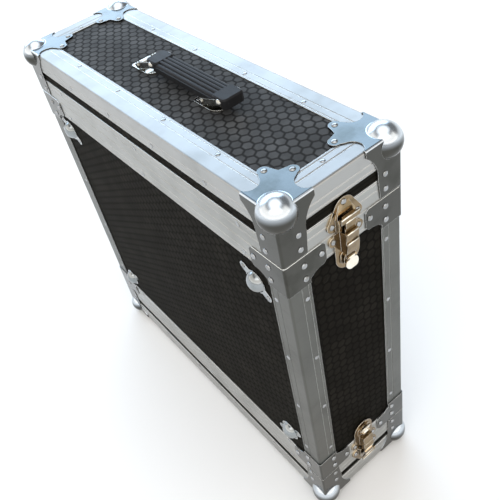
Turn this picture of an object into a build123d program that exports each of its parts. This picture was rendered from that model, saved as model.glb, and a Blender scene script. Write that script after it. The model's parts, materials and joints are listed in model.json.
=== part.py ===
from build123d import *
import math
import os

# Rack case for 19 inch equipment, three units high, standing on end.
# X runs along the 19 inch width, Y through the case's thickness and Z along its depth, from one
# lift-off lid to the other. The origin is on the floor, under the middle of the lower lid.
# All sizes are millimetres.

# Case, measured over the edge extrusions with both lids on
CASE_WIDTH = 514.0
CASE_THICKNESS = 153.0
CASE_HEIGHT = 536.0
LID_DEPTH = 66.0
PLY = 7.0
SKIN = 1.5

# Edge angles and closing extrusions
ANGLE_LEG = 28.0
EDGE_RADIUS = 2.5
GROOVES_AT = (16.8, 25.2)
GROOVE_HALF = 0.7
GROOVE_DEPTH = 0.7
MITRE_GAP = 0.1
CLOSING_LEG = 25.0
CLOSING_GROOVES_AT = (13.5, 22.4)
CLOSING_BEVEL = 0.9
CLOSING_INNER_LEG = 10.0
INNER_SKIN = 1.2
TONGUE_WIDTH = 6.4
TONGUE_HEIGHT = 4.0
GROOVE_SEAT = 4.5

# Pressed steel corners
STEEL = 1.2
BALL_RADIUS = 19.0
BALL_PROUD = 8.5
BALL_ARM = 45.0
BALL_REACH = 70.0
FLANGE_SHOULDER = 1.0
FLANGE_WAIST = (38.1, 12.6)
FLANGE_NECK = (46.3, 23.0)
LOBE_CENTRE = (50.6, 32.2)
LOBE_RADIUS = 6.6
LOBE_NOTCH = 41.5
LEG_SHOULDER = 7.0
LEG_BEND = (34.5, 20.0)
LEG_WAIST = (31.0, 40.0)
LEG_FOOT = 28.7
LEG_GAP = 1.6
BRACE_REACH = 60.0
BRACE_ARM = 50.0
BRACE_ARM_DEPTH = 27.0
BRACE_ARM_CUT = 4.0
BRACE_BEND = (33.0, 30.0)
BRACE_LEG = 39.0
BRACE_LEG_CUT = 5.0
SEAM = 0.3

# Domed feet on the broad side, each as far in from its side and its parting line as in use
RIGHT_FOOT_AT = (54.0, 57.0)
LEFT_FOOT_AT = (51.0, 48.5)
FOOT_RADIUS = 13.0
FOOT_RIM = 1.5
FOOT_EAR = 20.8
FOOT_EAR_RADIUS = 5.2
FOOT_LEAN = 34.0

# Rack rails, with the standard hole pitch of a three unit opening
RACK_UNIT = 44.45
RACK_UNITS = 3
RACK_HOLES_ACROSS = 465.1
RACK_HOLE_PITCH = (6.35, 22.225, 38.1)
RACK_HOLE_RADIUS = 3.2
RAIL_OPENING = 450.0
RAIL_THICKNESS = 2.0
RAIL_DEPTH = 25.0
RAIL_RECESS = 12.0

# Butterfly latch. Heights stand out from the case side, levels run from the parting line.
LATCH_PLATE = 1.5
EAR_REACH = 16.5
EAR_LEVEL = 9.5
EAR_RADIUS = 6.0
STRIKE_ROUND = 13.0
STRIKE_TOP = 36.0
STRIKE_LOW = 1.0
STRIKE_OPENING_TOP = 15.0
HOOD_WALL = 1.4
HOOD_CREST = 5.0
HOOD_CREST_LEVEL = 11.0
HOOD_SHOULDER_LEVEL = 14.0
HOOD_TOP_LEVEL = 30.0
HOOD_HALF = 13.0
HOOD_SLOPE = 2.0
WINDOW_GAP = 0.3
WINDOW_HALF = 8.6
WINDOW_TOP = 16.0
DISH_RADIUS = 16.0
DISH_LEVEL = -36.5
HOUSING_CREST = 11.2
HOUSING_LOW = 9.6
HOUSING_TEETH = 2
HOUSING_HALF = 8.2
HOUSING_WALL = 1.2
HOUSING_TOP = -1.0
HOUSING_END = -27.6
HOUSING_ROOF = 1.0
CARRIAGE_HALF = 5.0
CARRIAGE_LOW = 1.65
CARRIAGE_HIGH = 2.65
CARRIAGE_EAR = 1.4
CARRIAGE_END = 4.0
CLAW_PIN_LEVEL = -10.0
CLAW_PIN_HEIGHT = 4.9
CLAW_PIN_RADIUS = 1.1
CARRIAGE_EAR_TOP = 6.4
CLAW_EAR_BASE = 3.3
CLAW_EAR_TOP = 7.5
EAR_LENGTH = 6.0
CLAW_TAIL = -13.0
CLAW_WEB = (6.8, 8.0)
CLAW_HEAD = (8.2, 9.8)
CLAW_JOGGLE = 4.1
CLAW_INNER_JOGGLE = (5.2, 6.6)
CLAW_HEAD_LEVEL = 13.0
CLAW_TOP = 19.0
CLAW_NOSE_LOW = 6.0
CLAW_HALF = 6.7
CLAW_HEAD_HALF = 12.0
CLAW_NOSE_HALF = 8.0
SPINDLE_LEVEL = -39.5
SPINDLE_RADIUS = 2.2
SPINDLE_GAP = 0.15
CAM_RADIUS = 5.8
CAM_THROW = 3.0
CAM_PLAY = 0.7
YOKE_BAR = 1.8
YOKE_PLAY = 0.3
YOKE_CORNER = 5.0
DISC_RADIUS = 8.0
DISC_LOW = 2.8
DISC_HIGH = 4.2
LUG_INSIDE = 4.0
LUG_THICKNESS = 1.5
LUG_RADIUS = 2.0
WING_PIN_LEVEL = SPINDLE_LEVEL + 2.5
WING_PIN_HEIGHT = 6.0
WING_PIN_RADIUS = 1.0
WING_PIN_HALF = 6.2
WING_WIDTH = 16.5
WING_ROOT = -39.4
WING_TIP = -50.2
WING_THICKNESS = 1.4
WING_FLARE = 2.4
KNUCKLE_RADIUS = 1.7
KNUCKLE_HALF = 3.7
RUNNING = 0.05
PRESSED = 0.02

# Lifting handle on the upper lid. Heights stand up from the lid's extrusions.
HANDLE_X = 4.0
PIVOT_X = 64.5
PIVOT_HEIGHT = 5.0
LINK_RUN = 34.0
LINK_RISE = 11.0
LINK_HALF = 3.5
LINK_EYE = 4.1
LINK_THICKNESS = 2.0
LINK_INSIDE = 11.4
LINK_PIN_RADIUS = 2.0
LINK_BRIDGE = (7.6, 11.2)
LINK_BRIDGE_HALF = 0.8
PIN_HEAD = 1.0
STUD_RADIUS = 2.6
STUD_HEAD_RADIUS = 4.2
STUD_HEAD = 2.2
GRIP_OVERHANG = 10.0
GRIP_WIDTH = 27.0
GRIP_LOW = 10.0
GRIP_HIGH = 21.5
GRIP_CAP = 22.0
GRIP_CORNER = 5.0
GRIP_BEVEL = 1.5
GRIP_RIBS = 5
GRIP_RIB_PITCH = 4.9
GRIP_RIB_RADIUS = 2.7
GRIP_RIB_DROP = 1.6
GRIP_SHOULDER = 16.5
GRIP_VALLEY = 19.4
POCKET_PLAY = 0.5
POCKET_END = 4.0
POCKET_LOW = 8.0
BRACKET_WIDTH = 28.0
BRACKET_BACK = 17.0
BRACKET_FRONT = 27.0
BRACKET_CORNER = 4.0
BRACKET_THICKNESS = 2.0
BRACKET_EAR_AT = 8.0
BRACKET_EAR = 11.0

# Levels and half sizes that follow
HALF_W = CASE_WIDTH / 2
HALF_T = CASE_THICKNESS / 2
Z_BOTTOM = BALL_PROUD
Z_TOP = Z_BOTTOM + CASE_HEIGHT
Z_LOWER_PARTING = Z_BOTTOM + LID_DEPTH
Z_UPPER_PARTING = Z_TOP - LID_DEPTH
MIDDLE = Plane.XY.offset((Z_BOTTOM + Z_TOP) / 2)
DIAGONAL = Plane(origin=(0, 0, 0), z_dir=(1, -1, 0))
STUD_X = LINK_RUN
STUD_HEIGHT = PIVOT_HEIGHT + LINK_RISE


def group(shapes):
    """One node that holds several separate solids."""
    return Compound([solid for shape in shapes for solid in shape.solids()])


def box(low, high):
    """A block between two opposite corners."""
    size = [b - a for a, b in zip(low, high)]
    centre = [(a + b) / 2 for a, b in zip(low, high)]
    return Pos(*centre) * Box(*size)


def across(outline, low, high):
    """An outline drawn in Y and Z, with its thickness along X from low to high."""
    return extrude(Plane.YZ.offset(low) * outline, high - low)


def sideways(outline, half):
    """An outline drawn in X and Z, with its thickness along Y from -half to half."""
    return extrude(Plane.XZ * outline, half, both=True)


def cross_rod(x, z, radius, half):
    """A rod along Y."""
    return Pos(x, 0, z) * Rot(90, 0, 0) * Cylinder(radius, 2 * half)


def cheeks(outline, inside, thickness):
    """Two plates in X and Z, one each side of Y = 0, as one two-piece shape."""
    wide = sideways(outline, inside + thickness)
    return wide - sideways(outline, inside)


def both_sides(shape):
    """The shape and its mirror image in Y."""
    return [shape, shape.mirror(Plane.XZ)]


def four_corners(shape):
    """The shape at each of the case's four long edges."""
    return [s for half in both_sides(shape) for s in (half, half.mirror(Plane.YZ))]


def lower(shape):
    """The same piece at the other end of the case."""
    return shape.mirror(MIDDLE)


# Edge extrusions

def side_groove(at):
    """Section of a V groove in an outer face along X = 0."""
    return Polygon((0, at - GROOVE_HALF), (0, at + GROOVE_HALF), (-GROOVE_DEPTH, at), align=None)


def angle_section():
    """Edge angle with its outer corner at the origin and its legs towards -X and -Y."""
    legs = Pos(-ANGLE_LEG / 2, -SKIN / 2) * Rectangle(ANGLE_LEG, SKIN)
    legs += Pos(-SKIN / 2, -ANGLE_LEG / 2) * Rectangle(SKIN, ANGLE_LEG)
    for at in GROOVES_AT:
        legs -= side_groove(-at)
        legs -= side_groove(-at).mirror(DIAGONAL)
    corner = max(legs.vertices(), key=lambda v: v.X + v.Y)
    return fillet(corner, EDGE_RADIUS)


def closing_legs(seat):
    """Legs of a closing extrusion, drawn inwards in -X and up in +Y from the parting line."""
    channel = SKIN + PLY
    legs = Pos(-SKIN / 2, CLOSING_LEG / 2) * Rectangle(SKIN, CLOSING_LEG)
    inner_leg = Rectangle(INNER_SKIN, CLOSING_INNER_LEG)
    legs += Pos(-channel - INNER_SKIN / 2, CLOSING_INNER_LEG / 2) * inner_leg
    legs += Pos(-channel / 2, seat - SKIN / 2) * Rectangle(channel + INNER_SKIN, SKIN)
    for at in CLOSING_GROOVES_AT:
        legs -= side_groove(at)
    return legs - Polygon((0, 0), (-CLOSING_BEVEL, 0), (0, CLOSING_BEVEL), align=None)


def lid_closing_section():
    """Closing extrusion of a lid: its legs stand on the parting line, with a groove between."""
    return closing_legs(GROOVE_SEAT + SKIN)


def sleeve_closing_section():
    """Closing extrusion of the sleeve, upside down, with a hollow tongue over the parting line."""
    legs = closing_legs(SKIN)
    tongue = Pos(-(2 * SKIN + PLY) / 2, -TONGUE_HEIGHT / 2) * Rectangle(TONGUE_WIDTH, TONGUE_HEIGHT)
    hollow = Rectangle(TONGUE_WIDTH - 2 * INNER_SKIN, TONGUE_HEIGHT - INNER_SKIN)
    return legs + tongue - Pos(-(2 * SKIN + PLY) / 2, -(TONGUE_HEIGHT - INNER_SKIN) / 2) * hollow


def mitred_length(section, half_run, half_across, z):
    """One length along X, with its outer face at Y = half_across and 45 degree ends."""
    bar = extrude(Plane.YZ * Pos(half_across, z) * section, half_run, both=True)
    end = half_run - MITRE_GAP
    depth = ANGLE_LEG + SKIN
    corners = [(-end, half_across), (end, half_across)]
    corners += [(end - depth, half_across - depth), (depth - end, half_across - depth)]
    plan = Pos(0, 0, z) * Polygon(*corners, align=None)
    return bar & extrude(plan, depth, both=True)


def mitred_frame(section, z):
    """Four lengths of one section round the case."""
    long_side = mitred_length(section, HALF_W, HALF_T, z)
    short_side = Rot(0, 0, -90) * mitred_length(section, HALF_T, HALF_W, z)
    return group([*both_sides(long_side), short_side, short_side.mirror(Plane.YZ)])


def sleeve_angles():
    """Four edge angles between the two closing frames of the sleeve."""
    low = Z_LOWER_PARTING + CLOSING_LEG + MITRE_GAP
    high = Z_UPPER_PARTING - CLOSING_LEG - MITRE_GAP
    angle = extrude(Pos(HALF_W, HALF_T, low) * angle_section(), high - low)
    return group(four_corners(angle))


# Plywood panels

def sleeve_panels():
    """The four walls of the sleeve, the broad ones running past the narrow ones."""
    low = Z_LOWER_PARTING + SKIN
    high = Z_UPPER_PARTING - SKIN
    outer_x = HALF_W - SKIN
    outer_y = HALF_T - SKIN
    broad = box((-outer_x, outer_y - PLY, low), (outer_x, outer_y, high))
    narrow = box((outer_x - PLY, PLY - outer_y, low), (outer_x, outer_y - PLY, high))
    return broad, narrow


def lid_walls():
    """The four shallow walls of a lid."""
    low = Z_UPPER_PARTING + GROOVE_SEAT + SKIN
    high = Z_TOP - SKIN - PLY
    outer_x = HALF_W - SKIN
    outer_y = HALF_T - SKIN
    broad = box((-outer_x, outer_y - PLY, low), (outer_x, outer_y, high))
    narrow = box((outer_x - PLY, PLY - outer_y, low), (outer_x, outer_y - PLY, high))
    return group([*both_sides(broad), narrow, narrow.mirror(Plane.YZ)])


def lid_panel():
    """The broad end panel of a lid."""
    outer_x = HALF_W - SKIN
    outer_y = HALF_T - SKIN
    return box((-outer_x, -outer_y, Z_TOP - SKIN - PLY), (outer_x, outer_y, Z_TOP - SKIN))


# Pressed steel corners, drawn with the case's corner at the origin

def ball_top_outline():
    """Flange on the lid's end, waisted near each edge, with two lobes for its rivets."""
    shoulder = (-BALL_ARM, -FLANGE_SHOULDER)
    waist, neck, lobe = [(-x, -y) for x, y in (FLANGE_WAIST, FLANGE_NECK, LOBE_CENTRE)]
    edge = Polyline(
        neck,
        (lobe[0], lobe[1] + LOBE_RADIUS),
        (lobe[0], lobe[1] - LOBE_RADIUS),
        (-LOBE_NOTCH, -LOBE_NOTCH),
        (STEEL, STEEL),
        (-BALL_ARM, STEEL),
        shoulder,
    )
    half = make_face([ThreePointArc(shoulder, waist, neck), *edge.edges()])
    half += Pos(*lobe) * Circle(LOBE_RADIUS)
    return half + half.mirror(DIAGONAL)


def ball_leg_outline():
    """Leg down the lid's side, drawn across in X and down in Y."""
    shoulder = (-BALL_ARM, -LEG_SHOULDER)
    bend, waist = [(-x, -y) for x, y in (LEG_BEND, LEG_WAIST)]
    end = LEG_GAP - LID_DEPTH
    edge = Polyline(
        waist,
        (-LEG_FOOT, end),
        (STEEL, end),
        (STEEL, STEEL),
        (-BALL_ARM, STEEL),
        shoulder,
    )
    return make_face([ThreePointArc(shoulder, bend, waist), *edge.edges()])


def wrapped_corner(size, top):
    """Sheet steel folded round the corner, with rounded folds and, at a ball corner, a top."""
    high = STEEL if top else 0
    block = box((-size, -size, -size), (STEEL, STEEL, high))
    folds = block.edges().filter_by(Axis.Z).sort_by(lambda e: e.center().X + e.center().Y)[-1:]
    if top:
        upper = block.faces().sort_by(Axis.Z)[-1].edges()
        folds += upper.filter_by(Axis.Y).sort_by(Axis.X)[-1:]
        folds += upper.filter_by(Axis.X).sort_by(Axis.Y)[-1:]
    block = fillet(folds, EDGE_RADIUS)
    return block - box((-size, -size, -size), (0, 0, 0))


def ball_corner():
    """Ball corner: a ball over the case's corner, with three riveted flanges."""
    leg = extrude(Plane.XZ * ball_leg_outline(), -2 * STEEL, both=True)
    flange = extrude(ball_top_outline(), 2 * STEEL, both=True)
    sheet = wrapped_corner(BALL_REACH, top=True) & (flange + leg + leg.mirror(DIAGONAL))
    inset = BALL_RADIUS - BALL_PROUD
    corner = sheet + Pos(-inset, -inset, -inset) * Sphere(BALL_RADIUS)
    corner -= box((-BALL_REACH, -BALL_REACH, -BALL_REACH), (0, 0, 0))
    panel_edge = -ANGLE_LEG - MITRE_GAP
    lobe_zone = box((-BALL_REACH, -BALL_REACH, -SKIN), (panel_edge, panel_edge, STEEL))
    return corner + (flange & lobe_zone)


def brace_outline():
    """Brace on one face of the sleeve: an arm along the parting line and a short leg."""
    arm_corner = (BRACE_ARM_CUT - BRACE_ARM, -BRACE_ARM_DEPTH)
    leg_corner = (-ANGLE_LEG, BRACE_LEG_CUT - BRACE_LEG)
    edge = Polyline(
        leg_corner,
        (-ANGLE_LEG, -BRACE_LEG),
        (STEEL, -BRACE_LEG),
        (STEEL, -SEAM),
        (BRACE_ARM_CUT - BRACE_ARM, -SEAM),
        (-BRACE_ARM, -BRACE_ARM_CUT),
        (-BRACE_ARM, BRACE_ARM_CUT - BRACE_ARM_DEPTH),
        arm_corner,
    )
    bend = (-BRACE_BEND[0], -BRACE_BEND[1])
    return make_face([ThreePointArc(arm_corner, bend, leg_corner), *edge.edges()])


def corner_brace():
    """Brace folded round a long edge of the sleeve, just under the parting line."""
    arm = extrude(Plane.XZ * brace_outline(), -2 * STEEL, both=True)
    return wrapped_corner(BRACE_REACH, top=False) & (arm + arm.mirror(DIAGONAL))


def domed_foot():
    """Pressed foot on a base plate with two ears, its dome towards -Y."""
    height = BALL_PROUD + SKIN
    radius = (FOOT_RADIUS**2 + height**2) / (2 * height)
    dome = Pos(0, 0, height - radius) * Sphere(radius)
    dome &= Pos(0, 0, height / 2) * Box(4 * radius, 4 * radius, height)
    ears = Rot(0, 0, -FOOT_LEAN) * SlotCenterToCenter(2 * FOOT_EAR, 2 * FOOT_EAR_RADIUS)
    plate = extrude(ears + Circle(FOOT_RADIUS + FOOT_RIM), STEEL)
    return Rot(90, 0, 0) * (plate + dome)


def domed_feet():
    """Four feet near the corners of the broad side."""
    feet = []
    for side, (inset, drop) in ((1, RIGHT_FOOT_AT), (-1, LEFT_FOOT_AT)):
        place = Pos(side * (HALF_W - inset), SKIN - HALF_T, Z_UPPER_PARTING - drop)
        feet.append(place * domed_foot())
    return group(feet + [lower(foot) for foot in feet])


# Rack rails

def rack_rail():
    """Rail along one side of the rack opening, with three units of panel holes."""
    wall = HALF_W - SKIN - PLY
    front = Z_UPPER_PARTING - RAIL_RECESS
    half = RACK_UNITS * RACK_UNIT / 2
    rail = box((RAIL_OPENING / 2, -half, front - RAIL_THICKNESS), (wall, half, front))
    rail += box((wall - RAIL_THICKNESS, -half, front - RAIL_DEPTH), (wall, half, front))
    for unit in range(RACK_UNITS):
        for pitch in RACK_HOLE_PITCH:
            y = unit * RACK_UNIT + pitch - half
            rail -= Pos(RACK_HOLES_ACROSS / 2, y, front) * Cylinder(RACK_HOLE_RADIUS, 4 * RAIL_THICKNESS)
    return rail


# Butterfly latch, drawn with the parting line at the origin and the case side at X = 0

def latch_strike():
    """Strike on the lid: a riveted plate with a pressed hood that the claw catches."""
    round_level = STRIKE_TOP - STRIKE_ROUND
    marks = Pos(0, round_level) * Circle(STRIKE_ROUND)
    marks += Pos(EAR_REACH, EAR_LEVEL) * Circle(EAR_RADIUS)
    marks += Pos(-EAR_REACH, EAR_LEVEL) * Circle(EAR_RADIUS)
    marks += Pos(0, 2 * STRIKE_LOW) * Rectangle(2 * HOOD_HALF, 2 * STRIKE_LOW)
    plate = across(make_hull(marks.edges()), 0, LATCH_PLATE)
    opening_half = HOOD_HALF - HOOD_WALL
    plate -= box((0, -opening_half, 0), (LATCH_PLATE, opening_half, STRIKE_OPENING_TOP))
    hood = strike_hood(0) - strike_hood(HOOD_WALL)
    window_low = HOOD_CREST_LEVEL + WINDOW_GAP
    window = box((0, -WINDOW_HALF, window_low), (2 * HOOD_CREST, WINDOW_HALF, WINDOW_TOP))
    return plate + hood - window


def strike_hood(inset):
    """The hood as a solid wedge with sloping sides, or its hollow when inset by the wall."""
    high = HOOD_CREST - inset
    low = STRIKE_LOW - inset
    top = HOOD_TOP_LEVEL - 2 * inset
    half = HOOD_HALF - inset
    shoulder = HOOD_SHOULDER_LEVEL
    crest = (high, HOOD_CREST_LEVEL - inset / 2)
    side = Polygon((0, low), (high, low), crest, (LATCH_PLATE - inset, top), (0, top), align=None)
    rising = [(half, low), (half, shoulder), (half / 2, top)]
    front = Polygon(*rising, *[(-y, z) for y, z in reversed(rising)], align=None)
    slope = HOOD_SLOPE
    plan = Polygon((0, -half), (high, slope - half), (high, half - slope), (0, half), align=None)
    shape = sideways(side, HOOD_HALF) & across(front, 0, HOOD_CREST)
    return shape & extrude(plan, 2 * HOOD_TOP_LEVEL, both=True)


def latch_base():
    """Base on the sleeve: ears, a round dish for the wing and the claw's ribbed housing."""
    outline = Pos(0, -EAR_LEVEL) * SlotCenterToCenter(2 * EAR_REACH, 2 * EAR_RADIUS)
    outline += Pos(0, (DISH_LEVEL - 1) / 2) * Rectangle(2 * DISH_RADIUS, -DISH_LEVEL - 1)
    outline += Pos(0, DISH_LEVEL) * Circle(DISH_RADIUS)
    plate = across(outline, 0, LATCH_PLATE)
    inner = HOUSING_HALF - HOUSING_WALL
    ceiling = HOUSING_LOW - HOUSING_ROOF
    hollow = box((LATCH_PLATE, -inner, HOUSING_END + HOUSING_WALL), (ceiling, inner, 0))
    hollow += box((LATCH_PLATE, -inner, HOUSING_END - 1), (CARRIAGE_HIGH + 10 * RUNNING, inner, 0))
    bore = Cylinder(SPINDLE_RADIUS + RUNNING, 4 * LATCH_PLATE)
    return plate + latch_housing() - hollow - Pos(0, 0, SPINDLE_LEVEL) * Rot(0, 90, 0) * bore


def latch_housing():
    """Outside of the housing: rounded along its sides, with ledges that face the lid."""
    block = box((0, -HOUSING_HALF, HOUSING_END), (HOUSING_CREST, HOUSING_HALF, HOUSING_TOP))
    block = fillet(block.edges().filter_by(Axis.Z).sort_by(Axis.X)[-2:], HOUSING_WALL)
    step = (HOUSING_TOP - HOUSING_END) / HOUSING_TEETH
    profile = [(0, HOUSING_TOP)]
    for tooth in range(HOUSING_TEETH):
        level = HOUSING_TOP - tooth * step
        profile += [(HOUSING_CREST, level), (HOUSING_LOW, level - step)]
    profile.append((0, HOUSING_END))
    return block & sideways(Polygon(*profile, align=None), HOUSING_HALF)


def latch_carriage():
    """Sliding carriage: ears with the claw's pin, a tongue and the yoke round the cam."""
    yoke_level = SPINDLE_LEVEL + CAM_THROW
    opening = CAM_RADIUS + CAM_PLAY
    width = 2 * (CAM_RADIUS + CAM_THROW + YOKE_PLAY)
    yoke = RectangleRounded(width + 2 * YOKE_BAR, 2 * (opening + YOKE_BAR), YOKE_CORNER)
    outline = Pos(0, yoke_level) * (yoke - Rectangle(width, 2 * opening))
    tongue_low = yoke_level + opening + YOKE_BAR / 2
    tongue_high = CLAW_PIN_LEVEL + CARRIAGE_END
    tongue = Rectangle(2 * CARRIAGE_HALF, tongue_high - tongue_low)
    outline += Pos(0, (tongue_low + tongue_high) / 2) * tongue
    plate = across(outline, CARRIAGE_LOW, CARRIAGE_HIGH)
    ears = pin_ears(CARRIAGE_LOW, CARRIAGE_EAR_TOP, CLAW_PIN_RADIUS + PRESSED)
    plate += cheeks(ears, CARRIAGE_HALF - CARRIAGE_EAR, CARRIAGE_EAR)
    pin = cross_rod(CLAW_PIN_HEIGHT, CLAW_PIN_LEVEL, CLAW_PIN_RADIUS, CLAW_HALF - 2 * RUNNING)
    return group([plate, pin])


def pin_ears(low, high, hole_radius):
    """Outline of the ears round the claw's pin, between two heights."""
    ears = Pos((low + high) / 2, CLAW_PIN_LEVEL) * Rectangle(high - low, EAR_LENGTH)
    return ears - Pos(CLAW_PIN_HEIGHT, CLAW_PIN_LEVEL) * Circle(hole_radius)


def latch_claw():
    """Claw: side ears on the pin, a joggled web, a wide head and the nose that catches."""
    inner, outer = CLAW_WEB
    head_inner, head_outer = CLAW_HEAD
    web = Polygon(
        (inner, CLAW_TAIL),
        (outer, CLAW_TAIL),
        (outer, CLAW_JOGGLE),
        (head_outer, CLAW_JOGGLE + head_outer - outer),
        (head_outer, CLAW_TOP),
        (head_inner, CLAW_TOP),
        (head_inner, CLAW_INNER_JOGGLE[1]),
        (inner, CLAW_INNER_JOGGLE[0]),
        align=None,
    )
    claw = sideways(web, CLAW_HALF)
    head_half = CLAW_HEAD_HALF
    claw += box((head_inner, -head_half, CLAW_HEAD_LEVEL), (head_outer, head_half, CLAW_TOP))
    nose_level = CLAW_TOP - (head_outer - head_inner)
    claw += box((CLAW_NOSE_LOW, -CLAW_NOSE_HALF, nose_level), (head_outer, CLAW_NOSE_HALF, CLAW_TOP))
    ears = pin_ears(CLAW_EAR_BASE, CLAW_EAR_TOP, CLAW_PIN_RADIUS + RUNNING)
    return claw + cheeks(ears, CLAW_HALF - CARRIAGE_EAR, CARRIAGE_EAR)


def latch_spindle():
    """Spindle in the base's bore: flange, post, cam, disc and the lugs that hold the wing."""
    behind = SPINDLE_GAP - SKIN
    spindle = across(Pos(0, SPINDLE_LEVEL) * Circle(SPINDLE_RADIUS), behind, DISC_LOW)
    spindle += across(Pos(0, SPINDLE_LEVEL) * Circle(2 * SPINDLE_RADIUS), behind, -SPINDLE_GAP)
    cam = Pos(0, SPINDLE_LEVEL + CAM_THROW) * Circle(CAM_RADIUS)
    spindle += across(cam, LATCH_PLATE + 2 * RUNNING, DISC_LOW)
    spindle += across(Pos(0, SPINDLE_LEVEL) * Circle(DISC_RADIUS), DISC_LOW, DISC_HIGH)
    lug_top = WING_PIN_HEIGHT + LUG_RADIUS
    lug = Pos((DISC_HIGH + lug_top) / 2, WING_PIN_LEVEL) * Rectangle(lug_top - DISC_HIGH, 2 * LUG_RADIUS)
    lug = chamfer(lug.vertices().sort_by(Axis.X)[-2:], LUG_RADIUS / 2)
    lug -= Pos(WING_PIN_HEIGHT, WING_PIN_LEVEL) * Circle(WING_PIN_RADIUS + PRESSED)
    return spindle + cheeks(lug, LUG_INSIDE, LUG_THICKNESS)


def latch_wing_pin():
    """Pin through the lugs and the wing's knuckle."""
    return cross_rod(WING_PIN_HEIGHT, WING_PIN_LEVEL, WING_PIN_RADIUS, WING_PIN_HALF)


def latch_wing():
    """Wing folded flat in the dish, its tip flared out for a fingertip."""
    knee = (WING_PIN_HEIGHT, WING_ROOT - 2)
    tip = (WING_PIN_HEIGHT + WING_FLARE, WING_TIP - 1)
    straight = Line((WING_PIN_HEIGHT, WING_PIN_LEVEL), knee)
    flare = JernArc(knee, (0, -1), radius_to(knee, tip), angle_to(knee, tip))
    leaf = sideways(trace([straight, flare], WING_THICKNESS), WING_WIDTH)
    length = WING_ROOT - WING_TIP
    outline = Pos(0, WING_TIP + length / 2) * RectangleRounded(WING_WIDTH, length, length / 2 - 2 * RUNNING)
    neck = Rectangle(2 * KNUCKLE_HALF, 2 * (WING_PIN_LEVEL - WING_ROOT + 1))
    outline += Pos(0, WING_ROOT - 1) * neck
    leaf &= across(outline, 0, 2 * WING_PIN_HEIGHT)
    wing = leaf + cross_rod(WING_PIN_HEIGHT, WING_PIN_LEVEL, KNUCKLE_RADIUS, KNUCKLE_HALF)
    bore = cross_rod(WING_PIN_HEIGHT, WING_PIN_LEVEL, WING_PIN_RADIUS + RUNNING, WING_WIDTH)
    return wing - bore


def radius_to(start, end):
    """Radius of the arc that leaves start straight down and passes through end."""
    sideways_by, down_by = end[0] - start[0], start[1] - end[1]
    return (sideways_by**2 + down_by**2) / (2 * sideways_by)


def angle_to(start, end):
    """Turn of that arc in degrees, anticlockwise."""
    return math.degrees(2 * math.atan2(end[0] - start[0], start[1] - end[1]))


def latch_pieces():
    """The latch's pieces at the upper end of the +X side."""
    pieces = {
        "strike": latch_strike(),
        "base": latch_base(),
        "carriage": latch_carriage(),
        "claw": latch_claw(),
        "spindle": latch_spindle(),
        "wing_pin": latch_wing_pin(),
        "wing": latch_wing(),
    }
    return {name: Pos(HALF_W, 0, Z_UPPER_PARTING) * piece for name, piece in pieces.items()}


# Lifting handle, drawn with a pivot over the origin and heights from the lid's extrusions

def handle_bracket():
    """Bracket riveted to the lid: a round-ended plate with two ears for the pivot pin."""
    nose = BRACKET_WIDTH / 2
    plan = Pos(BRACKET_FRONT - nose, 0) * Circle(nose)
    length = BRACKET_BACK + BRACKET_FRONT - nose
    plan += Pos(-BRACKET_BACK + length / 2, 0) * Rectangle(length, BRACKET_WIDTH)
    corners = plan.vertices().group_by(Axis.X)[0]
    plate = Pos(0, 0, -SKIN) * extrude(fillet(corners, BRACKET_CORNER), BRACKET_THICKNESS)
    ear = Pos(0, (PIVOT_HEIGHT - SKIN) / 2) * Rectangle(BRACKET_EAR, PIVOT_HEIGHT + SKIN)
    ear += Pos(0, PIVOT_HEIGHT) * Circle(LINK_EYE)
    ear -= Pos(0, PIVOT_HEIGHT) * Circle(LINK_PIN_RADIUS + PRESSED)
    return plate + cheeks(ear, BRACKET_EAR_AT, BRACKET_THICKNESS)


def handle_pivot_pin():
    """Pin through a bracket's ears and a link's arms, with a low head at each end."""
    outer = LINK_INSIDE + LINK_THICKNESS + 2 * RUNNING
    pin = cross_rod(0, PIVOT_HEIGHT, LINK_PIN_RADIUS, outer)
    heads = cross_rod(0, PIVOT_HEIGHT, 1.5 * LINK_PIN_RADIUS, outer + PIN_HEAD)
    return pin + (heads - cross_rod(0, PIVOT_HEIGHT, 2 * LINK_PIN_RADIUS, outer))


def handle_link(stud_clearance):
    """Link: two arms from the pivot to the grip's studs, joined by a bridge."""
    length = math.hypot(LINK_RUN, LINK_RISE)
    arm = Pos(length / 2, 0) * Rectangle(length, 2 * LINK_HALF)
    arm += Circle(LINK_EYE - 2 * RUNNING) + Pos(length, 0) * Circle(LINK_EYE)
    arm -= Circle(LINK_PIN_RADIUS + RUNNING)
    arm -= Pos(length, 0) * Circle(STUD_RADIUS + stud_clearance)
    near, far = LINK_BRIDGE
    bridge = box((near, -LINK_INSIDE, -LINK_BRIDGE_HALF), (far, LINK_INSIDE, LINK_BRIDGE_HALF))
    link = cheeks(arm, LINK_INSIDE, LINK_THICKNESS) + bridge
    lean = math.degrees(math.atan2(LINK_RISE, LINK_RUN))
    return Pos(0, 0, PIVOT_HEIGHT) * Rot(0, -lean, 0) * link


def handle_stud():
    """Stud through one end of the grip, with a domed head outside each arm."""
    outer = LINK_INSIDE + LINK_THICKNESS + 2 * RUNNING
    stud = cross_rod(STUD_X, STUD_HEIGHT, STUD_RADIUS, outer)
    radius = (STUD_HEAD_RADIUS**2 + STUD_HEAD**2) / (2 * STUD_HEAD)
    cap = Pos(0, 0, STUD_HEAD - radius) * Sphere(radius)
    cap &= Pos(0, 0, STUD_HEAD) * Box(4 * STUD_HEAD_RADIUS, 4 * STUD_HEAD_RADIUS, 2 * STUD_HEAD)
    head = Pos(STUD_X, -outer, STUD_HEIGHT) * Rot(90, 0, 0) * cap
    return stud + head + head.mirror(Plane.XZ)


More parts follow.
